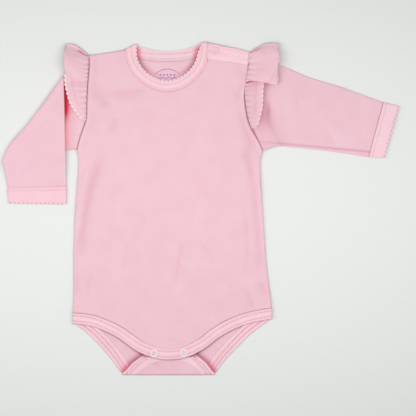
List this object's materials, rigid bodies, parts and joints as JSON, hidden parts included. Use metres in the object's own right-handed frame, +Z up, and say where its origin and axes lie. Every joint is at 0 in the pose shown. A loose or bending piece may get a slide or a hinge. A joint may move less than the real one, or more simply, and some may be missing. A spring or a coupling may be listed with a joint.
{
  "type": "baby onesie laid flat, one sleeve folded over",
  "caption": "Long-sleeved baby bodysuit laid flat, with shoulder ruffles, bound neck and leg openings, and ring snaps at one shoulder and the crotch.",
  "frame": {"origin": "on the surface it lies on, under the middle of the body, between the armpits and the waist", "axes": "+Y towards the neck, +X towards the straight sleeve, +Z up out of the surface"},
  "size_m": [0.4539, 0.3816, 0.0127],
  "materials": {
    "jersey": "matte",
    "binding": "matte",
    "snap": "gloss"
  },
  "bodies": {
    "root": {"back_body": "jersey", "front_body": "jersey", "sleeve_left": "jersey", "sleeve_right": "jersey", "ruffle_left": "jersey", "ruffle_right": "jersey", "cuff_left": "binding", "cuff_right": "binding", "neckband_front": "binding", "neckband_back": "binding", "leg_binding_front": "binding", "leg_binding_back": "binding", "shoulder_placket": "binding", "snap_cap_crotch_left": "snap", "snap_socket_crotch_left": "snap", "snap_stud_crotch_left": "snap", "snap_cap_crotch_right": "snap", "snap_socket_crotch_right": "snap", "snap_stud_crotch_right": "snap", "snap_cap_shoulder": "snap", "snap_socket_shoulder": "snap", "snap_stud_shoulder": "snap"}
  },
  "joints": []
}
